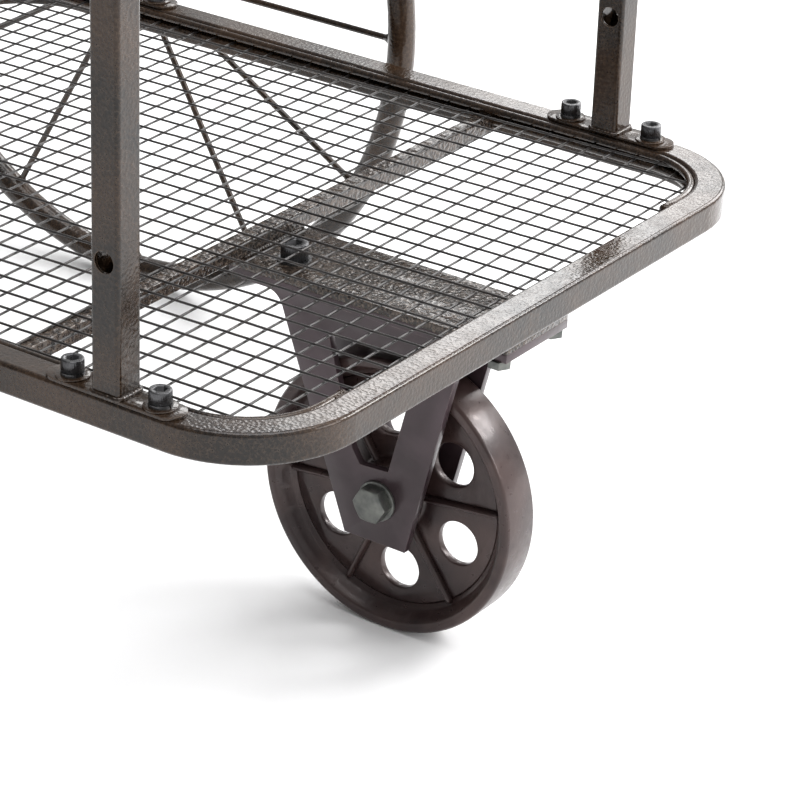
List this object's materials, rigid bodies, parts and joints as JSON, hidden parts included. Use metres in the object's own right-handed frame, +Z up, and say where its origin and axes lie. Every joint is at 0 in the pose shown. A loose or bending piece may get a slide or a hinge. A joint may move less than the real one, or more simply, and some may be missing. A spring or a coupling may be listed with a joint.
{
  "type": "three-wheeled bar cart",
  "caption": "Industrial bar cart: mesh trays in bent square tube on bolted uprights, spoked rear wheels and a rigid cast caster.",
  "frame": {"origin": "on the ground, under the middle of the whole cart", "axes": "+X along the cart to the caster end, +Y across it to its left side, +Z up"},
  "size_m": [0.6115, 0.527, 0.8898],
  "materials": {
    "hammered_steel": "glossy hammered dark bronze paint",
    "mesh_wire": "semi-gloss dark paint",
    "plum_cast": "smooth satin plum-brown paint",
    "plum_plate": "smooth satin plum-brown paint",
    "screw_black": "blackened satin steel",
    "bolt_grey": "satin zinc grey",
    "bronze": "plain turned bronze"
  },
  "bodies": {
    "cart": {"lower_frame": "hammered_steel", "lower_support_rod": "hammered_steel", "lower_retainer_rods": "hammered_steel", "upper_frame": "hammered_steel", "upper_support_rod": "hammered_steel", "upper_retainer_rods": "hammered_steel", "upright_front_left": "hammered_steel", "upright_front_right": "hammered_steel", "upright_rear_left": "hammered_steel", "upright_rear_right": "hammered_steel", "lower_flanges": "hammered_steel", "lower_flat_washers": "hammered_steel", "upper_flanges": "hammered_steel", "upper_flat_washers": "hammered_steel", "crossbar": "hammered_steel", "caster_mount_plate": "hammered_steel", "axle_bracket_left": "hammered_steel", "axle_bracket_right": "hammered_steel", "push_handle": "hammered_steel", "handle_flanges": "hammered_steel", "handle_flat_washers": "hammered_steel", "lower_long_wires": "mesh_wire", "lower_cross_wires": "mesh_wire", "upper_long_wires": "mesh_wire", "upper_cross_wires": "mesh_wire", "lower_flange_screws": "screw_black", "lower_spring_washers": "screw_black", "upper_flange_screws": "screw_black", "upper_spring_washers": "screw_black", "caster_cap_screw": "screw_black", "caster_screw_washer": "screw_black", "handle_screws": "screw_black", "handle_spring_washers": "screw_black", "lower_rivet_nuts": "bolt_grey", "upper_rivet_nuts": "bolt_grey", "caster_spacers": "bolt_grey", "caster_axle_bolt": "bolt_grey", "caster_axle_washers": "bolt_grey", "caster_axle_nut": "bolt_grey", "caster_hex_bolts": "bolt_grey", "axle_washers": "bolt_grey", "axle_nuts": "bolt_grey", "caster_fork": "plum_plate"},
    "caster_wheel_body": {"caster_wheel_rim": "plum_cast", "caster_wheel_disc": "plum_cast", "caster_wheel_ribs": "plum_cast", "caster_bush": "bronze"},
    "left_wheel_body": {"rim_left": "hammered_steel", "spokes_left": "hammered_steel", "hub_left": "hammered_steel", "hub_bush_left": "bronze"},
    "right_wheel_body": {"rim_right": "hammered_steel", "spokes_right": "hammered_steel", "hub_right": "hammered_steel", "hub_bush_right": "bronze"}
  },
  "joints": [
    {"name": "caster_spin", "type": "hinge", "parent": "cart", "child": "caster_wheel_body", "pos_m": [0.23005, 0, 0.07], "axis": [0, 1, 0], "continuous": true},
    {"name": "left_wheel_spin", "type": "hinge", "parent": "cart", "child": "left_wheel_body", "pos_m": [-0.11625, 0.2285, 0.1895], "axis": [0, 1, 0], "continuous": true},
    {"name": "right_wheel_spin", "type": "hinge", "parent": "cart", "child": "right_wheel_body", "pos_m": [-0.11625, -0.2285, 0.1895], "axis": [0, 1, 0], "continuous": true}
  ]
}
